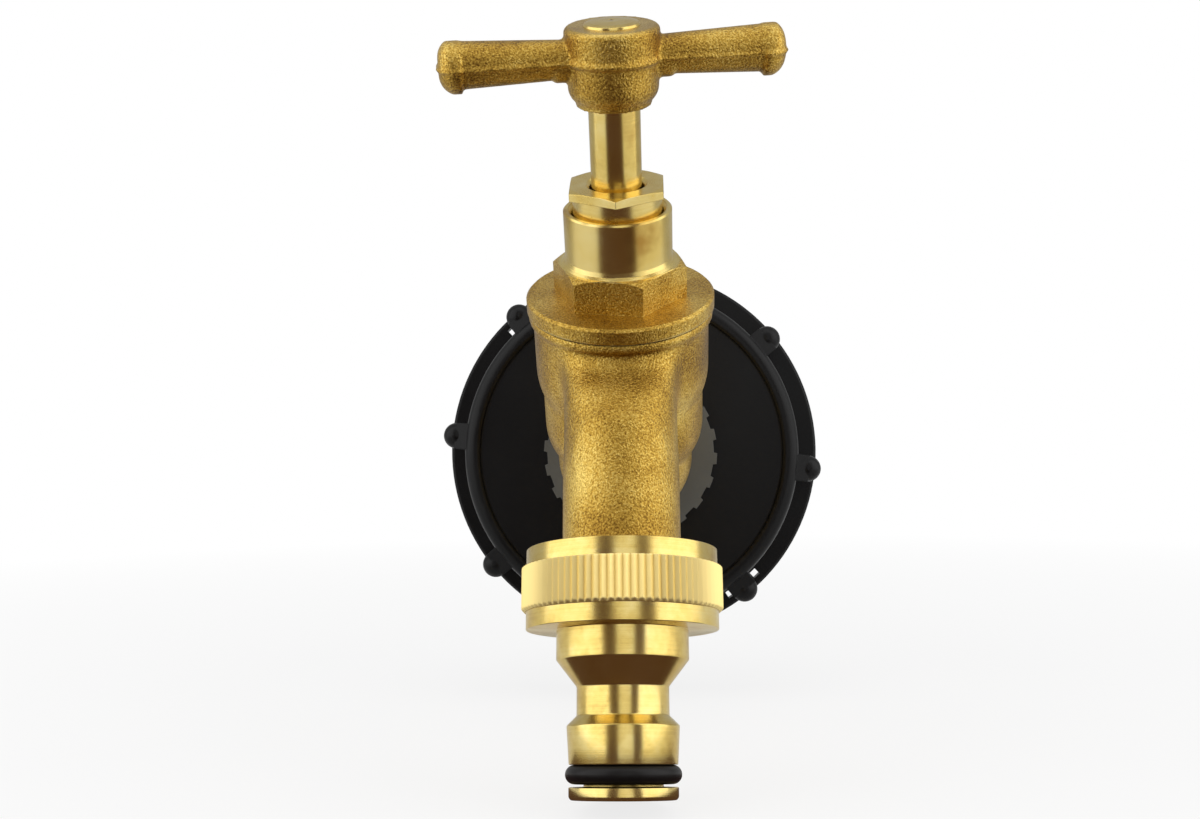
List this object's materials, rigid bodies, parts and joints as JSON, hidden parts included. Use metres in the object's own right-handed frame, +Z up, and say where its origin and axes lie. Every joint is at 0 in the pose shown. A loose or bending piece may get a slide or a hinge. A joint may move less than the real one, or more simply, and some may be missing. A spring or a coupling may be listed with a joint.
{
  "type": "ibc tank valve",
  "caption": "Brass bib tap with tee handle and screw-on hose nipple, clamped by its tail and backnut through a ribbed black cap that screws onto a tank outlet.",
  "frame": {"origin": "middle of the cap's open end, on the line of the inlet", "axes": "+Y runs along the inlet out of the cap's open end and into the tank, +Z is up with the tap in use, +X is to the right seen from the tap's front"},
  "size_m": [0.0784, 0.1048, 0.1142],
  "materials": {
    "tap_body": "cast and shot blasted",
    "bonnet": "turned, hexagon left as cast",
    "bonnet_washer": "pressed fibre",
    "gland_nut": "turned",
    "packing_washer": "stamped",
    "gland_packing": "white packing ring",
    "spindle": "turned bright",
    "tee_handle": "cast and shot blasted",
    "jumper": "turned",
    "jumper_washer": "moulded",
    "jumper_nut": "turned",
    "hose_connector": "turned bright with a straight knurl",
    "connector_washer": "moulded",
    "nipple_o_ring": "moulded, slightly shiny",
    "ibc_cap": "moulded, satin",
    "cap_gasket": "moulded",
    "front_ring": "moulded, matt",
    "tail_seal": "moulded",
    "backnut": "turned"
  },
  "bodies": {
    "tap": {"tap_body": "tap_body", "bonnet": "bonnet", "bonnet_washer": "bonnet_washer", "gland_nut": "gland_nut", "packing_washer": "packing_washer", "gland_packing": "gland_packing", "ibc_cap": "ibc_cap", "cap_gasket": "cap_gasket", "front_ring": "front_ring", "tail_seal": "tail_seal", "backnut": "backnut"},
    "valve": {"jumper": "jumper", "jumper_washer": "jumper_washer", "jumper_nut": "jumper_nut"},
    "spindle_and_tee": {"spindle": "spindle", "tee_handle": "tee_handle"},
    "connector_seal": {"connector_washer": "connector_washer"},
    "connector": {"hose_connector": "hose_connector", "nipple_o_ring": "nipple_o_ring"}
  },
  "joints": [
    {"name": "valve_lift", "type": "slide", "parent": "tap", "child": "valve", "axis": [0, -0.5, 0.866], "range_m": [0, 0.00501]},
    {"name": "spindle_turn", "type": "hinge", "parent": "valve", "child": "spindle_and_tee", "pos_m": [0, -0.06115, 0], "axis": [0, -0.5, 0.866], "range_deg": [0, 900]},
    {"name": "connector_travel", "type": "slide", "parent": "tap", "child": "connector_seal", "axis": [0, -0.2504, -0.9681], "range_m": [0, 0.00726]},
    {"name": "connector_turn", "type": "hinge", "parent": "connector_seal", "child": "connector", "pos_m": [0, -0.0848, 0], "axis": [0, -0.2504, -0.9681], "range_deg": [0, 1440]}
  ],
  "couplings": [
    {"joint": "valve_lift", "follows": "spindle_turn", "m_per_rad": 0.00031831},
    {"joint": "connector_travel", "follows": "connector_turn", "m_per_rad": 0.00028871}
  ]
}
